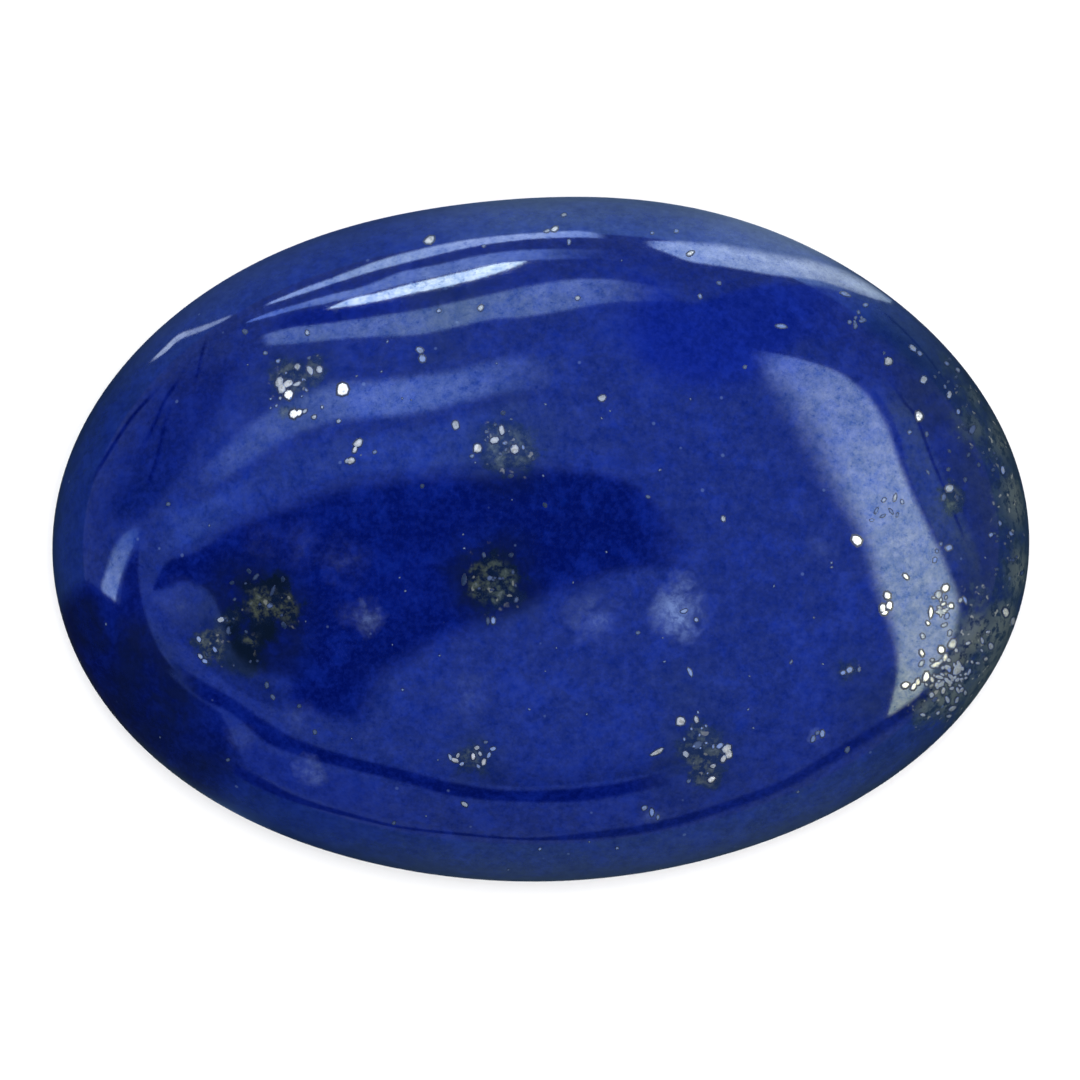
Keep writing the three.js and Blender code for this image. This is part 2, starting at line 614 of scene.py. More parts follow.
seam = Finish("dark_seam")
seam_grain = seam.noise(20.0)
seam_colour = seam.mix(seam_grain.between(0.3, 0.7), (0.0008, 0.002, 0.012), (0.003, 0.006, 0.022))
seam_finish = {"Base Color": seam_colour, "Roughness": 0.3 + seam_grain * 0.2, "Specular IOR Level": 0.4}
seam.finish("Material", seam.principled(seam_finish))
print("finishes:", pyrite.material.name, "and", seam.material.name)

# %% Chip shapes
# The seam's width is a share of the chip's, and the three heights are in millimetres.
SEAM = 0.14
CHIP_FOOT = -0.03
CHIP_SEAM = 0.0012
CHIP_RISE = 0.006
# Each step of the rounded shoulder: its share of the rise, and the width it draws in to.
SHOULDER = ((0.6, 0.93), (0.3, 0.8), (0.1, 0.6))
# How many sides each chip has, with the seed of its uneven outline.
CHIP_KINDS = ((9, 1), (8, 2), (7, 3), (10, 4), (8, 5), (9, 6))


def new_chip(sides, seed):
    """A flat chip a millimetre across: foot, seam, rounded shoulder and ground top."""
    deselect_all()
    bpy.ops.mesh.primitive_cylinder_add(
        vertices=sides,
        radius=0.5 * MM,
        depth=(CHIP_SEAM - CHIP_FOOT) * MM,
        location=(0, 0, (CHIP_SEAM + CHIP_FOOT) / 2 * MM),
    )
    chip = bpy.context.object
    chip.data.materials.append(pyrite.material)
    chip.data.materials.append(seam.material)
    bpy.ops.object.transform_apply(location=True)
    bpy.ops.object.mode_set(mode="EDIT")
    bpy.ops.mesh.select_mode(type="VERT")
    mesh = bmesh.from_edit_mesh(chip.data)
    dice = random.Random(seed)
    corners = {}
    for vertex in mesh.verts:
        turn = round(math.atan2(vertex.co.y, vertex.co.x), 3)
        corners.setdefault(turn, []).append(vertex)
    for pair in corners.values():
        bpy.ops.mesh.select_all(action="DESELECT")
        for vertex in pair:
            vertex.select_set(True)
        draw_in(dice.uniform(0.74, 1.10))
    bpy.ops.mesh.select_mode(type="FACE")
    bpy.ops.mesh.select_all(action="DESELECT")
    mesh = bmesh.from_edit_mesh(chip.data)
    top = max(mesh.faces, key=lambda face: face.calc_center_median().z)
    top.select_set(True)
    bpy.ops.mesh.inset(thickness=SEAM * MM)
    for rise, share in SHOULDER:
        extrude_up(rise * CHIP_RISE)
        draw_in(share)
    mesh = bmesh.from_edit_mesh(chip.data)
    for face in mesh.faces:
        above_seam = face.calc_center_median().z > CHIP_SEAM * MM * 1.2
        face.material_index = 0 if above_seam else 1
    bpy.ops.mesh.select_all(action="SELECT")
    bpy.ops.mesh.normals_make_consistent(inside=False)
    bpy.ops.object.mode_set(mode="OBJECT")
    bpy.ops.object.shade_smooth_by_angle(angle=math.radians(40))
    return chip


chips = [new_chip(sides, seed) for sides, seed in CHIP_KINDS]
print(len(chips), "chip shapes of", [len(chip.data.polygons) for chip in chips], "faces")

# %% Places of the grains
# Each grain: steps right and down in the view, its length and width in steps, its turn in
# degrees and its painted glint, from 1 for a face painted as glinting down to less than 0 for a dull
# one.
GRAINS = [
    # Upper left
    (342, 389, 13, 13, 0, 1.0), (279, 383, 13, 8, 75, 0.58), (282, 388, 12, 9, 60, 0.63),
    (288, 384, 12, 8, 10, 0.7), (297, 384, 9, 5, 15, 0.52), (288, 395, 11, 9, 60, 1.0),
    (293, 414, 12, 10, 40, 1.0), (299, 413, 9, 6, 10, 0.9), (305, 411, 6, 4, 30, 0.5),
    (278, 361, 5, 5, 0, 0.16), (297, 367, 7, 6, 60, 0.42), (310, 370, 12, 6, 105, 0.48),
    (319, 370, 10, 8, 90, 0.52), (309, 358, 4, 4, 0, 0.0), (314, 417, 5, 5, 0, 0.5),
    (322, 407, 4, 4, 0, 0.3), (339, 421, 5, 5, 0, 0.3), (358, 443, 10, 9, 20, 0.62),
    (355, 449, 8, 5, 60, 0.62), (351, 461, 9, 7, 0, 0.6), (347, 461, 5, 5, 0, 0.3),
    (375, 452, 5, 5, 0, 0.08), (245, 332, 7, 5, 140, -0.02), (307, 333, 7, 5, 90, 0.3),
    (265, 353, 5, 4, 0, 0.1), (280, 398, 4, 4, 0, 0.3), (168, 504, 5, 4, 0, 0.0),
    (420, 350, 8, 8, 90, 0.24), (422, 359, 11, 9, 80, 0.24), (430, 240, 13, 8, 12, 0.7),
    (439, 311, 5, 4, 0, 0.28), (481, 308, 7, 6, 0, 0.48), (484, 246, 4, 3, 0, 0.2),
    # Upper middle
    (555, 229, 9, 5, 10, 0.67), (547, 231, 6, 4, 10, 0.4), (564, 215, 6, 4, 5, 0.4),
    (569, 242, 6, 4, 80, 0.25), (578, 298, 5, 5, 0, 0.4), (456, 425, 10, 8, 80, 0.5),
    (477, 448, 9, 9, 0, 0.7), (472, 456, 5, 5, 0, 0.06), (502, 430, 11, 6, 90, 0.54),
    (494, 440, 13, 8, 12, 0.56), (514, 449, 12, 11, 30, 0.6), (505, 443, 6, 5, 0, 0.12),
    (523, 447, 6, 4, 90, 0.12), (487, 432, 5, 4, 0, 0.0), (495, 425, 4, 4, 0, -0.2),
    (503, 413, 5, 5, 0, -0.3), (511, 476, 6, 5, 0, -0.35), (533, 459, 4, 4, 0, -0.3),
    (602, 398, 8, 8, 0, 0.48), (648, 497, 6, 4, 150, 0.0), (545, 505, 6, 4, 100, -0.38),
    (422, 486, 5, 5, 0, -0.3), (723, 519, 8, 5, 90, 0.38),
    # Upper right
    (691, 253, 9, 5, 20, 0.66), (652, 233, 4, 3, 0, 0.2), (676, 231, 5, 4, 0, 0.2),
    (719, 283, 6, 4, 130, 0.06), (700, 296, 6, 5, 90, 0.16), (781, 326, 14, 5, 170, 0.15),
    (845, 294, 14, 4, 155, 0.22), (866, 305, 6, 5, 0, 0.14), (745, 367, 5, 4, 0, 0.02),
    (888, 361, 9, 8, 0, 0.6), (884, 353, 3, 3, 0, -0.1), (913, 348, 10, 6, 130, 0.3),
    (920, 354, 7, 5, 140, 0.12), (924, 380, 9, 8, 30, 0.42), (919, 416, 10, 9, 80, 0.9),
    (949, 395, 11, 6, 70, 0.38), (945, 387, 5, 3, 100, 0.06), (958, 412, 8, 5, 80, 0.2),
    (947, 364, 6, 4, 140, 0.12), (958, 370, 6, 4, 100, 0.3), (910, 432, 5, 5, 0, 0.1),
    (927, 434, 6, 4, 80, 0.0), (972, 430, 12, 6, 60, 0.0), (928, 472, 6, 3, 120, 0.02),
    (949, 488, 12, 9, 0, 0.42), (944, 497, 9, 5, 60, 0.02), (957, 497, 8, 4, 100, -0.25),
    (895, 497, 9, 4, 70, 0.4), (884, 500, 6, 4, 30, 0.3), (902, 502, 6, 4, 100, 0.3),
    (876, 511, 9, 3, 60, 0.08), (883, 516, 8, 3, 20, 0.08), (891, 511, 9, 3, 120, 0.08),
    (897, 515, 7, 3, 70, 0.08), (872, 520, 5, 3, 0, 0.2), (1003, 470, 10, 5, 90, 0.29),
    (991, 535, 5, 5, 0, 0.2), (1000, 523, 7, 4, 90, 0.1), (1011, 534, 7, 4, 130, 0.12),
    # Right
    (857, 540, 12, 10, 90, 1.0), (906, 577, 10, 5, 130, 0.72), (887, 596, 10, 8, 90, 1.0),
    (883, 608, 9, 7, 60, 1.0), (889, 606, 9, 6, 80, 1.0), (885, 613, 8, 4, 10, 0.9),
    (949, 548, 9, 7, 0, 0.2), (941, 544, 4, 4, 0, 0.1), (937, 551, 5, 4, 60, 0.1),
    (935, 560, 7, 5, 60, 0.2), (945, 588, 11, 8, 30, 0.85), (938, 595, 9, 7, 60, 0.5),
    (951, 606, 6, 5, 90, 0.8), (943, 604, 8, 4, 20, 0.6), (931, 612, 14, 4, 80, 0.8),
    (928, 623, 5, 4, 80, 0.7), (940, 612, 10, 6, 110, 0.45), (947, 616, 8, 5, 40, 0.27),
    (944, 625, 9, 4, 20, 0.45), (950, 633, 7, 5, 60, 0.4), (965, 600, 9, 4, 110, 0.2),
    (1006, 612, 11, 7, 80, 0.85), (1013, 621, 9, 5, 75, 0.6), (988, 632, 5, 4, 0, 0.5),
    (991, 646, 8, 6, 70, 0.5), (982, 640, 8, 4, 100, 0.35), (986, 659, 5, 4, 0, 0.6),
    (953, 644, 12, 9, 20, 0.6), (941, 650, 10, 8, 80, 0.95), (922, 653, 8, 5, 100, 0.8),
    (945, 658, 12, 6, 70, 0.65), (937, 664, 14, 6, 20, 0.64), (932, 660, 6, 4, 10, 0.5),
    (958, 669, 16, 9, 45, 0.52), (969, 672, 8, 4, 60, 0.3), (949, 669, 8, 5, 100, 0.24),
    (926, 677, 11, 8, 60, 0.9), (932, 680, 9, 5, 110, 0.64), (918, 682, 8, 6, 40, 0.7),
    (914, 686, 9, 6, 50, 0.8), (906, 685, 9, 7, 10, 0.95), (941, 684, 10, 6, 30, 0.42),
    (951, 677, 9, 5, 130, 0.4), (947, 699, 9, 5, 110, 0.4), (935, 699, 8, 5, 30, -0.1),
    (957, 700, 8, 4, 60, 0.35), (939, 677, 11, 4, 160, 0.5), (949, 682, 11, 4, 150, 0.5),
    (958, 690, 8, 4, 110, 0.45), (943, 691, 10, 5, 70, 0.6), (953, 708, 10, 6, 20, 0.5),
    (949, 716, 6, 4, 0, 0.4), (938, 713, 5, 4, 0, 0.35), (923, 715, 8, 4, 165, 0.4),
    (849, 670, 8, 6, 40, 0.24), (843, 673, 6, 5, 0, 0.22), (859, 669, 6, 4, 70, 0.06),
    (791, 662, 5, 3, 50, 0.06),
    # Left
    (221, 620, 8, 6, 0, 0.45), (199, 639, 8, 5, 90, 0.27), (200, 656, 7, 5, 120, 0.3),
    (205, 661, 7, 5, 140, 0.22), (215, 650, 8, 4, 120, 0.16), (228, 631, 10, 4, 80, -0.18),
    (256, 577, 9, 4, 45, -0.27), (249, 571, 6, 4, 120, -0.48), (273, 590, 13, 4, 65, -0.33),
    (283, 579, 6, 4, 70, -0.48), (270, 606, 7, 6, 0, 0.0), (284, 625, 8, 5, 110, -0.42),
    (232, 583, 5, 4, 0, -0.4), (267, 685, 8, 5, 80, -0.14), (273, 697, 7, 5, 110, -0.08),
    (299, 706, 5, 4, 0, -0.18), (315, 732, 6, 5, 60, -0.12), (228, 760, 5, 4, 0, -0.1),
    (394, 823, 5, 4, 0, -0.1), (484, 555, 6, 4, 90, -0.22), (511, 555, 5, 5, 0, -0.38),
    (464, 579, 13, 6, 80, -0.42), (490, 578, 6, 6, 0, -0.05), (516, 600, 8, 5, 60, -0.15),
    (493, 621, 11, 6, 85, 0.15), (488, 621, 9, 4, 85, -0.2),
    # Below
    (455, 760, 9, 5, 150, 0.62), (450, 757, 7, 4, 100, 0.28), (458, 755, 6, 4, 60, 0.45),
    (462, 764, 6, 4, 0, 0.27), (473, 756, 8, 5, 85, 0.75), (477, 748, 6, 5, 0, 0.42),
    (493, 749, 7, 5, 0, 0.24), (484, 762, 8, 5, 65, 0.68), (489, 755, 8, 4, 50, 0.2),
    (480, 754, 7, 4, 110, 0.45), (478, 766, 6, 4, 120, 0.14), (486, 742, 5, 4, 0, 0.0),
    (464, 804, 8, 5, 140, 0.5), (657, 752, 15, 5, 25, 0.66), (680, 721, 10, 9, 0, 0.68),
    (696, 719, 8, 5, 100, 0.56), (697, 745, 12, 8, 30, -0.1), (686, 754, 8, 6, 110, 0.5),
    (720, 746, 9, 6, 20, 0.24), (727, 749, 11, 9, 0, 0.66), (729, 754, 10, 8, 75, 0.7),
    (723, 759, 11, 6, 55, 0.64), (713, 766, 6, 5, 0, 0.56), (712, 779, 9, 7, 20, 0.82),
    (689, 781, 5, 5, 0, 0.02), (690, 672, 11, 5, 110, 0.22), (684, 611, 8, 5, 10, 0.24),
    (696, 620, 6, 5, 90, 0.24), (644, 808, 7, 5, 30, 0.2), (652, 812, 11, 5, 80, 0.2),
    (658, 817, 7, 4, 70, 0.1), (638, 633, 5, 4, 0, 0.02), (540, 849, 4, 3, 0, 0.2),
    (617, 848, 4, 3, 0, 0.15), (822, 734, 11, 6, 85, 0.25), (813, 739, 8, 6, 60, 0.12),
    (817, 733, 6, 4, 30, 0.05), (798, 792, 4, 3, 0, 0.0), (847, 750, 8, 5, 60, -0.05),
]
print(len(GRAINS), "grains that are seen one by one")

# %% Sprinkled grains
# Each sprinkle: steps right and down, how far it spreads, how many grains, their largest
# size in steps and the painted glint of the most marked ones.
SPRINKLES = [
    (950, 672, 26, 26, 5.5, 0.54),
    (941, 608, 13, 12, 4.5, 0.56),
    (975, 680, 26, 12, 4.5, 0.46),
    (985, 450, 34, 12, 4.5, -0.22),
    (1000, 560, 24, 10, 4.5, -0.22),
    (700, 745, 22, 12, 3.5, 0.2),
    (245, 615, 40, 14, 4.0, -0.30),
    (493, 580, 24, 8, 4.0, -0.28),
    (505, 440, 24, 8, 3.2, 0.0),
    (293, 385, 26, 10, 3.0, 0.2),
    (855, 320, 9, 9, 4.5, 0.08),
    (940, 385, 34, 9, 3.6, -0.22),
    (540, 540, 420, 50, 2.2, 0.12),
]
SPREAD_SHARE = 0.55
LAST_GRAIN = 0.985
dice = random.Random(7)


def sprinkled(right, down, spread, count, largest, brightest_glint):
    """Small grains that lie at random round a place, denser towards it."""
    made = []
    while len(made) < count:
        across = dice.gauss(right, spread * SPREAD_SHARE)
        along = dice.gauss(down, spread * SPREAD_SHARE)
        place = seen_at(across, along)
        if share_of_radius(place.x, place.y) > LAST_GRAIN:
            continue
        size = dice.uniform(0.55, 1.0) * largest
        shape = (size * dice.uniform(1.0, 1.7), size, dice.uniform(0, 180))
        made.append((across, along, *shape, dice.uniform(0.75, 1.0) * brightest_glint))
    return made


small_grains = []
for sprinkle in SPRINKLES:
    small_grains += sprinkled(*sprinkle)
print(len(small_grains), "small grains")

# %% Set the grains
# The seam round a grain is so many steps wide, and wider round a grain with more painted glint.
# The painted glint falls off towards the rim as painted shade, where the ground face rounds down into
# the seam.
LEAST_RING = 0.2
RING_BY_GLINT = 1.5
MIDDLE_GLINT_GAIN = 0.05
RIM_PAINTED_SHADE = 0.7
STEEPEST = 0.35


def set_grain(right, down, long, wide, turn, painted_glint):
    """A chip's copy, stretched and turned as it is seen, and laid on the dome."""
    place = seen_at(right, down)
    facing = dome_normal(place.x, place.y)
    steep = max(facing.z, STEEPEST)
    ring = LEAST_RING + max(painted_glint, 0) * RING_BY_GLINT
    sides = []
    for size, degrees in ((long, turn), (wide, turn + 90)):
        angle = math.radians(degrees) - VIEW_TURN
        flat = Vector((math.cos(angle), math.sin(angle), 0)) * (size + ring * 2) * VIEW_STEP
        flat.z = -(flat.x * facing.x + flat.y * facing.y) / steep
        sides.append(flat)
    chip = dice.choice(chips)
    grain = chip.copy()
    grain.data = chip.data.copy()
    bpy.context.collection.objects.link(grain)
    rises = [(corner.co.z / MM - CHIP_SEAM) / CHIP_RISE for corner in grain.data.vertices]
    ground_faces = [face for face in grain.data.polygons if face.material_index == 0]
    for corner in {corner for face in ground_faces for corner in face.vertices}:
        point = grain.data.vertices[corner].co
        point.x *= long / (long + ring * 2) / (1 - SEAM * 2)
        point.y *= wide / (wide + ring * 2) / (1 - SEAM * 2)
    centre = on_dome(place.x, place.y) * MM
    columns = Matrix((sides[0], sides[1], facing)).transposed()
    grain.data.transform(Matrix.Translation(centre) @ columns.to_4x4())
    # Each point keeps the grain's painted glint.
    glint_points = grain.data.attributes.new("painted_glint", "FLOAT", "POINT")
    for corner, rise in zip(glint_points.data, rises):
        # The painted glint is raised in the middle and darkened towards the rim as painted shade.
        corner.value = painted_glint + MIDDLE_GLINT_GAIN - RIM_PAINTED_SHADE * (1 - rise)
    return grain


grains = [set_grain(*grain) for grain in GRAINS + small_grains]
select_only(*grains)
bpy.ops.object.join()
pyrite_grains = bpy.context.object
pyrite_grains.name = "pyrite_grains"
for chip in chips:
    bpy.data.objects.remove(chip)
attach(pyrite_grains, "root")
print("grains joined to", len(pyrite_grains.data.polygons), "faces")
print("their finishes:", [material.name for material in pyrite_grains.data.materials])

# %% [markdown]
# ## The studio
# The stone lies on a plain pale floor under one wide soft light. That lights the rock, but
# a polish is seen only in what it mirrors: bright cards that hang round the stone, dark
# ones, and the grey of the room. A studio moves each card until its reflection sits where
# it is wanted. The same is done here by sums: a card's outline is drawn where it is to be
# seen on the stone, and the law of the mirror says where the card has to hang.

# %% Floor and soft light
# The studio is so much larger than the stone that it is measured in metres.
# The floor lies a hundredth of a millimetre below the stone.
FLOOR_SIZE = 8
FLOOR_DEPTH = 0.00001
SOFTBOX_SIZE = 0.9
SOFTBOX_WATTS = 11
SOFTBOX_PLACE = (0.03, 0.06, 0.7)

deselect_all()
bpy.ops.mesh.primitive_plane_add(size=FLOOR_SIZE, location=(0, 0, -FLOOR_DEPTH))
floor = bpy.context.object
floor.name = "floor"
floor.visible_glossy = False
floor.visible_diffuse = False
paper = Finish("pale_paper")
tooth = paper.noise(0.8, 4.0, 0.6)
paper_colour = paper.mix(tooth, (0.90, 0.90, 0.90), (0.92, 0.92, 0.92))
paper.finish("Material", paper.principled({"Base Color": paper_colour, "Roughness": 0.9}))
floor.data.materials.append(paper.material)

softbox_data = bpy.data.lights.new("softbox", "AREA")
softbox_data.shape = "SQUARE"
softbox_data.size = SOFTBOX_SIZE
softbox_data.energy = SOFTBOX_WATTS
softbox = bpy.data.objects.new("softbox", softbox_data)
softbox.location = SOFTBOX_PLACE
softbox.rotation_euler = Vector(softbox.location).to_track_quat("Z", "Y").to_euler()
softbox.visible_glossy = False
bpy.context.collection.objects.link(softbox)
print("floor", FLOOR_SIZE, "m wide, and a soft light at", SOFTBOX_PLACE)

# %% From the view to the lights
def mirrored(right, down, distance):
    """What the polish mirrors at a step of the view, at a distance all round the stone."""
    place = seen_at(right, down)
    point = on_dome(place.x, place.y)
    sight = (point - EYE).normalized()
    facing = dome_normal(place.x, place.y)
    way = sight - facing * (2 * sight.dot(facing))
    along = way.dot(point)
    reach = math.sqrt(along * along - point.length_squared + distance * distance) - along
    return (point + way * reach) * MM


def eased(points, steps):
    """A smooth line through points, by Catmull and Rom's rule."""
    points = [Vector(point) for point in points]
    ends = [points[0]] + points + [points[-1]]
    line = []
    for a, b, c, d in zip(ends, ends[1:], ends[2:], ends[3:]):
        for step in range(steps):
            t = step / steps
            bend = b * 2 + (c - a) * t + (a * 2 - b * 5 + c * 4 - d) * t ** 2
            line.append((bend + (b * 3 - a - c * 3 + d) * t ** 3) / 2)
    return line + [points[-1]]


print("at 100 mm, the middle of the dome mirrors the place", tuple(mirrored(540, 540, 100.0)))

# %% Cards
# Each card hangs a little nearer than the one before, so its reflection covers that one's.
CARD_DISTANCE = 400.0
CARD_STEP = 3.0
LAYERS = 4
STEPS_BETWEEN = 6
POINTED = (0.4, 0.4, 0.25, 0.25)
card_names = []


def next_distance():
    """How far off the newest card hangs, in millimetres."""
    return CARD_DISTANCE - CARD_STEP * len(card_names)


def card_mesh(name, near_edge, far_edge, distance):
    """A curved sheet between two edges, with its own measure along and across it."""
    rows = [eased(edge, STEPS_BETWEEN) for edge in (near_edge, far_edge)]
    count = len(rows[0])
    places = []
    for layer in range(LAYERS + 1):
        share = layer / LAYERS
        for near, far in zip(*rows):
            places.append(mirrored(*(near * (1 - share) + far * share), distance))
    faces = []
    for layer in range(LAYERS):
        for step in range(count - 1):
            corner = layer * count + step
            faces.append((corner, corner + 1, corner + count + 1, corner + count))
    mesh = bpy.data.meshes.new(name)
    mesh.from_pydata(places, [], faces)
    spread = mesh.uv_layers.new(name="spread")
    for face in mesh.polygons:
        for corner, vertex in zip(face.loop_indices, face.vertices):
            spread.data[corner].uv = (vertex % count / (count - 1), vertex // count / LAYERS)
    return mesh


def card(name, near_edge, far_edge, lights, soft):
    """A card between two edges of its reflection, with soft margins along its four sides.

    lights are its colours from start to end. soft gives how wide the margins are, as shares
    of the card: near edge, far edge, start and end. A margin may be a pair, for both ends.
    """
    card_names.append(name)
    mesh = card_mesh(name, near_edge, far_edge, next_distance())
    sheet = bpy.data.objects.new(name, mesh)
    bpy.context.collection.objects.link(sheet)
    for ray in ("camera", "diffuse", "transmission", "shadow"):
        setattr(sheet, "visible_" + ray, False)

    net = Finish(name)
    spread = net.node("UVMap", {"uv_map": "spread"}, {})
    along = net.part(spread, "X")
    across = net.part(spread, "Y")
    mask = 1.0
    for depth, width in zip((across, 1 - across, along, 1 - along), soft):
        if isinstance(width, tuple):
            width = width[0] + along * (width[1] - width[0])
        if width:
            mask = depth.between(0.0, width) * mask
    colour = lights[0]
    spans = len(lights) - 1
    for step, light in enumerate(lights[1:]):
        colour = net.mix(along.between(step / spans, (step + 1) / spans), colour, light)
    glow = net.node("Emission", {}, {"Color": colour, "Strength": 1.0})
    clear = net.node("BsdfTransparent", {}, {})
    net.finish("Material", net.node("MixShader", {}, {0: mask, 1: clear, 2: glow}))
    sheet.data.materials.append(net.material)


def streak(name, line, width, light):
    """A thin card along a line, so many steps wide and pointed at both ends."""
    near_edge = []
    far_edge = []
    for before, point, after in zip(line[:1] + line, line, line[1:] + line[-1:]):
        side = (Vector(after) - Vector(before)).orthogonal().normalized() * (width / 2)
        near_edge.append(Vector(point) + side)
        far_edge.append(Vector(point) - side)
    card(name, near_edge, far_edge, [light], POINTED)


# %% Dim parts of the room
BLACK = (0.0, 0.0, 0.0)

card(
    "dim_upper",
    [(600, 330), (625, 365), (655, 392), (700, 408), (745, 400), (800, 352), (880, 372)],
    [(622, 262), (650, 275), (690, 300), (740, 285), (790, 280), (840, 289), (895, 314)],
    [(0.2, 0.42, 2.4)],
    (0.35, 0.08, 0.25, 0.3),
)
card(
    "dim_left",
    [(262, 345), (246, 380), (226, 415), (205, 450), (186, 480), (160, 508), (150, 530)],
    [(165, 360), (140, 388), (118, 420), (101, 450), (90, 480), (84, 510), (84, 540)],
    [(0.3, 0.42, 0.9), (0.10, 0.22, 0.5)],
    (0.2, 0.55, 0.15, 0.2),
)
card(
    "dim_below",
    [(420, 742), (480, 752), (540, 756), (600, 755), (660, 748), (720, 735), (780, 712)],
    [(400, 765), (450, 778), (510, 787), (580, 784), (640, 776), (700, 758), (790, 735)],
    [(0.35, 0.5, 0.7)],
    (0.9, 0.05, 0.3, 0.3),
)
card(
    "dim_shoulder",
    [(838, 322), (862, 338), (890, 360), (918, 388), (945, 420)],
    [(850, 297), (873, 305), (898, 318), (930, 348), (960, 386)],
    [(0.25, 0.6, 1.7), (0.18, 0.45, 1.1), (0.15, 0.35, 0.7)],
    (0.5, 0.5, 0.3, 0.35),
)
card(
    "dim_corner",
    [(150, 596), (172, 634), (205, 668), (240, 694), (285, 714), (330, 732)],
    [(192, 588), (214, 612), (236, 655), (262, 678), (300, 688), (340, 700)],
    [(0.40, 0.60, 1.2), (0.22, 0.36, 0.62)],
    (0.15, 0.3, 0.3, 0.3),
)
card(
    "dim_band",
    [(234, 728), (262, 746), (300, 760), (350, 774), (400, 786)],
    [(232, 760), (262, 778), (300, 796), (350, 812), (400, 824)],
    [(0.30, 0.50, 1.6)],
    (0.15, 0.15, 0.2, 0.5),
)
card(
    "dark_upper",
    [(262, 338), (300, 334), (350, 326), (400, 317), (450, 306)],
    [(262, 320), (300, 309), (350, 299), (400, 290), (450, 284)],
    [(0.10, 0.22, 1.3)],
    (0.05, 0.2, 0.3, 0.6),
)
print(len(card_names), "dim cards")

# %% Bright cards
card(
    "window",
    [(748, 354), (757, 380), (768, 404), (781, 430), (796, 456), (812, 484), (830, 508), (846, 530),
     (858, 556), (867, 586), (880, 618), (891, 645), (895, 672), (891, 700), (887, 719)],
    [(752, 350), (780, 354), (815, 362), (846, 374), (872, 396), (890, 425), (902, 460), (915, 492),
     (931, 525), (948, 560), (962, 600), (957, 636), (937, 668), (918, 700), (892, 720)],
    [(3.0, 3.9, 7.4), (6.9, 7.4, 7.9), (9.9, 10.1, 8.9), (10.2, 10.2, 7.4), (9.4, 9.1, 4.6)],
    ((0.75, 0.03), (0.05, 0.16), 0.10, 0.03),
)
card(
    "window_jamb",
    [(858, 374), (884, 402), (900, 436), (908, 470), (922, 504), (940, 545), (955, 590)],
    [(884, 368), (912, 402), (930, 436), (945, 470), (962, 505), (980, 550), (988, 592)],
    [(1.2, 1.6, 1.9), (1.2, 1.6, 1.6), (1.5, 1.9, 1.2)],
    (0.0, 0.3, 0.3, 0.3),
)
card(
    "top_right",
    [(643, 244), (665, 253), (692, 263), (730, 269), (770, 276), (815, 281), (845, 290),
     (872, 299), (890, 303)],
    [(643, 241), (665, 240), (692, 240), (730, 243), (770, 250), (812, 258), (845, 269),
     (872, 284), (893, 300)],
    [(6.4, 7.6, 9.4), (8.1, 9.3, 10.6), (6.9, 7.9, 8.7), (2.8, 3.4, 3.9), (0.8, 1.1, 1.5)],
    (0.12, (0.12, 0.80), 0.10, 0.0),
)
card(
    "thin_strip",
    [(265, 306), (300, 295), (340, 282), (380, 270), (420, 260), (460, 250), (500, 243),
     (540, 239), (580, 238), (608, 239)],
    [(265, 304), (300, 289), (340, 274), (380, 259), (420, 248), (460, 240), (500, 235),
     (540, 232), (580, 230), (608, 236)],
    [(7.2, 8.6, 11.0), (7.4, 8.7, 9.6), (7.6, 8.7, 10.5), (4.7, 6.2, 9.4)],
    (0.15, 0.25, 0.03, 0.10),
)
card(
    "grey_strip",
    [(243, 324), (270, 317), (300, 309), (330, 303), (365, 295), (400, 286), (440, 277),
     (480, 268), (520, 262), (560, 260), (615, 259)],
    [(246, 322), (270, 312), (300, 303), (330, 294), (365, 285), (400, 271), (440, 263),
     (480, 254), (520, 249), (560, 248), (615, 249)],
    [(3.0, 4.4, 8.8), (4.3, 5.4, 7.6), (3.9, 5.0, 7.4), (2.6, 3.7, 6.3)],
    (0.15, 0.2, 0.03, 0.2),
)
card(
    "bright_lens",
    [(327, 309), (350, 306), (380, 301), (410, 294), (440, 288), (470, 281), (500, 272),
     (514, 267), (524, 262)],
    [(328, 308), (350, 299), (380, 292), (410, 284), (440, 277), (470, 270), (500, 263),
     (514, 262), (524, 261)],
    [(24.5, 24.5, 20.5), (26.0, 26.0, 21.0), (30.0, 30.0, 22.0)],
    (0.05, 0.05, 0.03, 0.0),
)
card(
    "middle_band",
    [(262, 346), (290, 345), (330, 341), (370, 338), (410, 337), (450, 330), (490, 321),
     (530, 318), (570, 311), (610, 304), (650, 302), (695, 302)],
    [(258, 336), (290, 327), (330, 322), (370, 316), (410, 310), (450, 302), (490, 293),
     (530, 284), (570, 278), (610, 278), (650, 284), (695, 294)],
    [(3.4, 4.2, 5.8), (3.7, 4.5, 5.6), (4.2, 5.0, 5.2), (3.9, 4.7, 6.2), (2.4, 3.1, 5.0)],
    (0.12, 0.12, 0.05, 0.28),
)
card(
    "inner_arc",
    [(198, 499), (222, 484), (250, 466), (278, 449), (305, 435), (345, 425), (400, 420),
     (450, 410), (500, 398), (545, 394), (600, 394)],
    [(188, 490), (202, 466), (226, 441), (252, 418), (282, 396), (330, 379), (390, 374),
     (450, 366), (500, 354), (545, 350), (600, 356)],
    [(1.4, 1.9, 3.1), (1.9, 2.5, 4.0), (2.5, 3.2, 4.8), (4.0, 5.0, 7.6), (3.1, 4.0, 6.4),
     (1.7, 2.4, 4.0)],
    (0.25, 0.3, 0.2, 0.32),
)
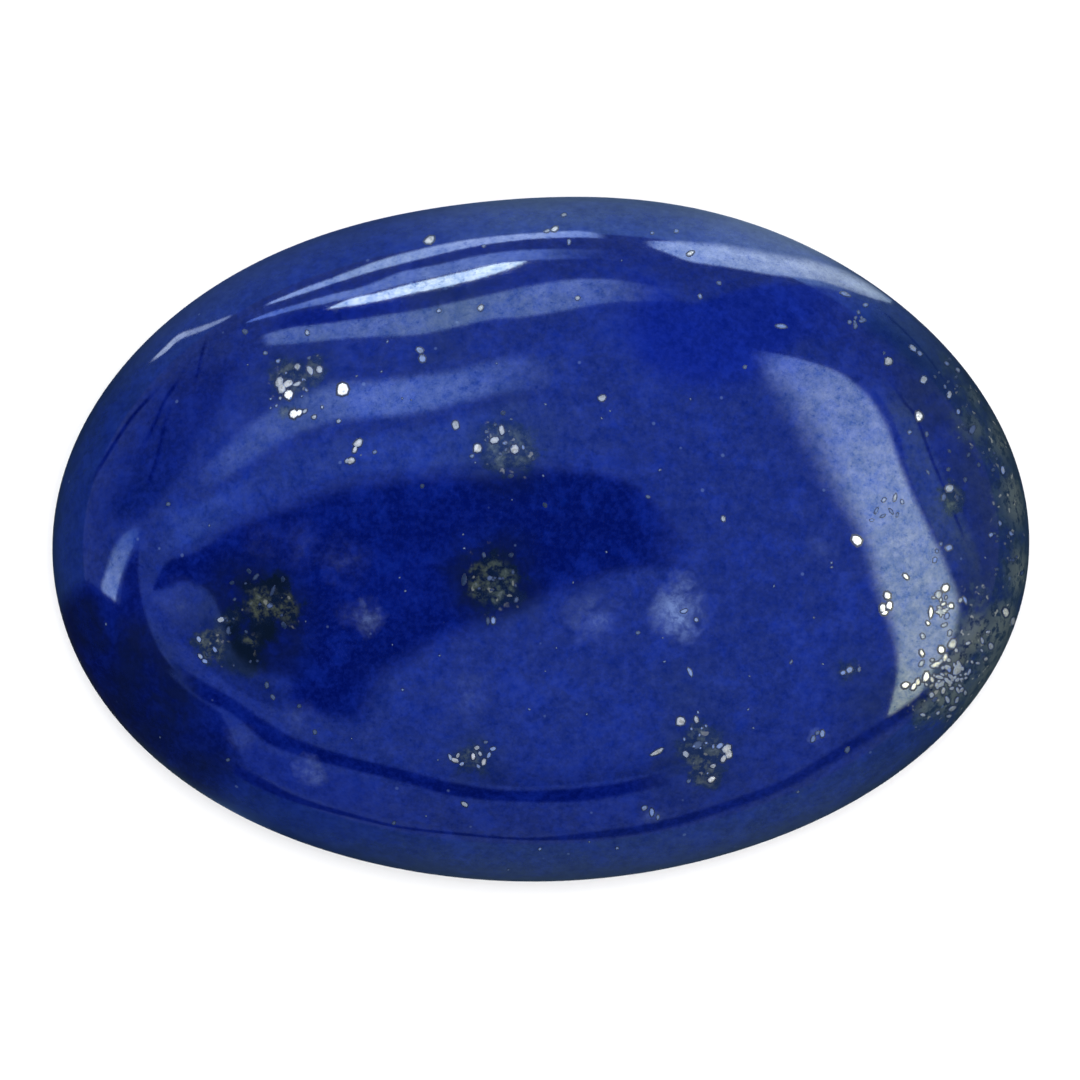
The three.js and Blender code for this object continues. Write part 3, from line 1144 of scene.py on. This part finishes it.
card(
    "lower_arc",
    [(152, 560), (190, 545), (225, 524), (262, 504), (300, 488), (345, 477), (400, 472),
     (450, 468), (510, 464), (580, 462), (650, 462)],
    [(150, 505), (196, 502), (226, 484), (256, 467), (290, 450), (330, 438), (390, 430),
     (450, 418), (510, 400), (580, 396), (650, 405)],
    [(1.2, 1.8, 3.8), (0.8, 1.2, 2.6), (1.0, 1.5, 3.2), (1.1, 1.6, 3.2)],
    (0.12, 0.15, 0.12, 0.35),
)
card(
    "left_wedge",
    [(141, 528), (135, 544), (128, 561), (122, 577), (118, 592), (116, 604), (118, 620)],
    [(139, 525), (124, 532), (112, 546), (105, 566), (99, 588), (103, 604), (116, 618)],
    [(1.6, 2.4, 3.8), (7.8, 8.6, 9.0)],
    (0.12, 0.3, 0.15, 0.0),
)
card(
    "upper_left",
    [(150, 363), (165, 353), (180, 340), (198, 333), (214, 326), (233, 316)],
    [(150, 361), (163, 348), (178, 334), (197, 327), (214, 321), (233, 314)],
    [(4.6, 5.2, 6.0)],
    (0.15, 0.3, 0.15, 0.1),
)
print(len(card_names), "cards so far")

# %% Dark cards
card(
    "dark_body",
    [(154, 592), (190, 584), (216, 604), (237, 672), (288, 696), (380, 690), (440, 656),
     (500, 630), (560, 602), (630, 576), (702, 572)],
    [(153, 588), (166, 561), (198, 547), (238, 518), (290, 497), (345, 478), (425, 469),
     (500, 468), (570, 463), (640, 484), (701, 560)],
    [BLACK],
    (0.16, 0.10, 0.0, 0.10),
)
card(
    "dark_tail",
    [(285, 704), (310, 721), (340, 728), (372, 732)],
    [(288, 662), (320, 656), (360, 654), (398, 654)],
    [BLACK],
    (0.25, 0.3, 0.15, 0.3),
)
card(
    "dark_arc",
    [(172, 676), (200, 700), (232, 716), (266, 745), (300, 758), (350, 771), (400, 783),
     (450, 797), (510, 803), (580, 803), (630, 795), (690, 782)],
    [(165, 652), (196, 675), (232, 696), (266, 719), (300, 738), (350, 755), (400, 767),
     (450, 780), (510, 789), (580, 786), (630, 779), (690, 762)],
    [BLACK],
    (0.2, 0.2, 0.1, 0.10),
)
card(
    "dark_ground",
    [(80, 574), (101, 588), (124, 606), (146, 638), (168, 668), (196, 694), (222, 712),
     (236, 740), (248, 764), (272, 782), (300, 800)],
    [(50, 600), (62, 640), (80, 680), (100, 710), (120, 735), (145, 758), (170, 780),
     (195, 798), (222, 815), (250, 829), (285, 843)],
    [(0.015, 0.02, 0.02), (0.015, 0.02, 0.02), (0.03, 0.05, 0.06), (0.13, 0.26, 0.62)],
    (0.05, 0.0, 0.08, 0.35),
)
card(
    "dark_band",
    [(140, 540), (139, 570), (143, 600), (152, 630), (164, 655), (180, 675)],
    [(132, 552), (124, 575), (119, 600), (120, 625), (135, 650), (165, 680)],
    [(0.04, 0.04, 0.0)],
    (0.1, 0.1, 0.1, 0.1),
)
card(
    "dark_skirting",
    [(228, 772), (260, 790), (300, 805), (350, 818), (400, 829), (460, 836), (530, 841),
     (600, 840), (660, 832), (720, 815), (780, 794), (830, 767), (890, 732), (935, 700),
     (975, 656), (1000, 611), (1012, 575)],
    [(232, 760), (262, 776), (300, 796), (350, 812), (400, 825), (460, 832), (530, 837),
     (600, 829), (660, 819), (720, 801), (780, 779), (830, 750), (884, 716), (928, 684),
     (966, 642), (990, 600), (1004, 568)],
    [(0.02, 0.03, 0.1), (0.08, 0.14, 0.3), (0.12, 0.2, 0.4)],
    ((0.2, 0.45), 0.3, 0.02, 0.2),
)
print(len(card_names), "cards so far")

# %% Thin dark lines of the room
# Each line: its name, its points, how many steps wide it is and its light.
LINES = [
    ("line_shoulder", [(876, 306), (898, 325), (920, 348), (938, 371), (950, 390)], 3, (0.1, 0.25, 0.6)),
    (
        "line_left_1",
        [(163, 384), (150, 397), (137, 411), (125, 427), (112, 447), (98, 470), (87, 493)],
        6,
        BLACK,
    ),
    ("line_left_2", [(208, 335), (203, 350), (200, 362), (197, 375), (193, 388)], 5, BLACK),
    ("line_left_3", [(183, 374), (175, 385), (165, 400), (157, 418), (148, 437), (138, 455)], 6, BLACK),
    ("line_left_4", [(172, 400), (163, 430), (157, 460), (150, 478), (146, 487)], 6, BLACK),
    (
        "line_right",
        [(870, 355), (893, 385), (905, 403), (915, 415), (925, 440), (933, 462), (945, 490), (955, 515)]
        + [(965, 540), (975, 555)],
        5,
        (0.15, 0.22, 0.6),
    ),
]
for line in LINES:
    streak(*line)
print(len(card_names), "cards, of which the nearest hangs at", next_distance(), "mm")

# %% [markdown]
# ## The room
# The room round the stage isn't seen, but the polish mirrors it as a blue grey veil. The
# world is one colour for what the camera sees, the floor's own pale tone, and another for
# what the polish mirrors, lighter above the horizon than below it.

# %% World
world = bpy.data.worlds.new("room")
bpy.context.scene.world = world
world.use_nodes = True
room = Net(world.node_tree)
room.tree.nodes.clear()
# How far a direction points up, and how far to the right and to the back.
direction = room.node("TexCoord", {}, {}, "Generated")
up = room.part(direction, "Z")
level = room.vector("NORMALIZE", room.vector("MULTIPLY", direction, (1, 1, 0)), (0, 0, 0))
right = room.part(level, "X")
back = room.part(level, "Y")
above = room.mix(up.between(0.2, 0.9), (0.45, 0.64, 1.2), (0.64, 0.94, 2.1))
wall = room.mix(right.between(-0.25, 0.0), (0.46, 0.86, 2.3), (1.10, 1.8, 3.1))
wall = room.mix(right.between(0.15, 0.42), wall, (2.0, 3.0, 4.8))
wall = room.mix(right.between(0.50, 0.64), wall, (0.55, 1.05, 2.2))
below = room.mix(right.between(0.4, 0.75), (0.43, 0.74, 1.14), (0.25, 0.50, 0.80))
below = room.mix((0 - right).between(0.05, 0.45), below, (0.18, 0.39, 0.80))
below = room.mix(back.between(0.5, 0.9), below, wall)
below = room.mix((up + 1).power(1.25) * 0.93 + 0.07, BLACK, below)
veil = room.mix(up.between(-0.03, 0.0), below, above)
is_glossy = room.node("LightPath", {}, {}, "Is Glossy Ray")
is_camera = room.node("LightPath", {}, {}, "Is Camera Ray")
light = room.mix(is_camera, room.mix(is_glossy, (0.3, 0.3, 0.3), veil), (0.96, 0.96, 0.96))
room.finish("World", room.node("Background", {}, {"Color": light}))
print("the room takes", len(room.tree.nodes), "nodes")

# %% [markdown]
# The fine stone has to stay inside the solid's box.
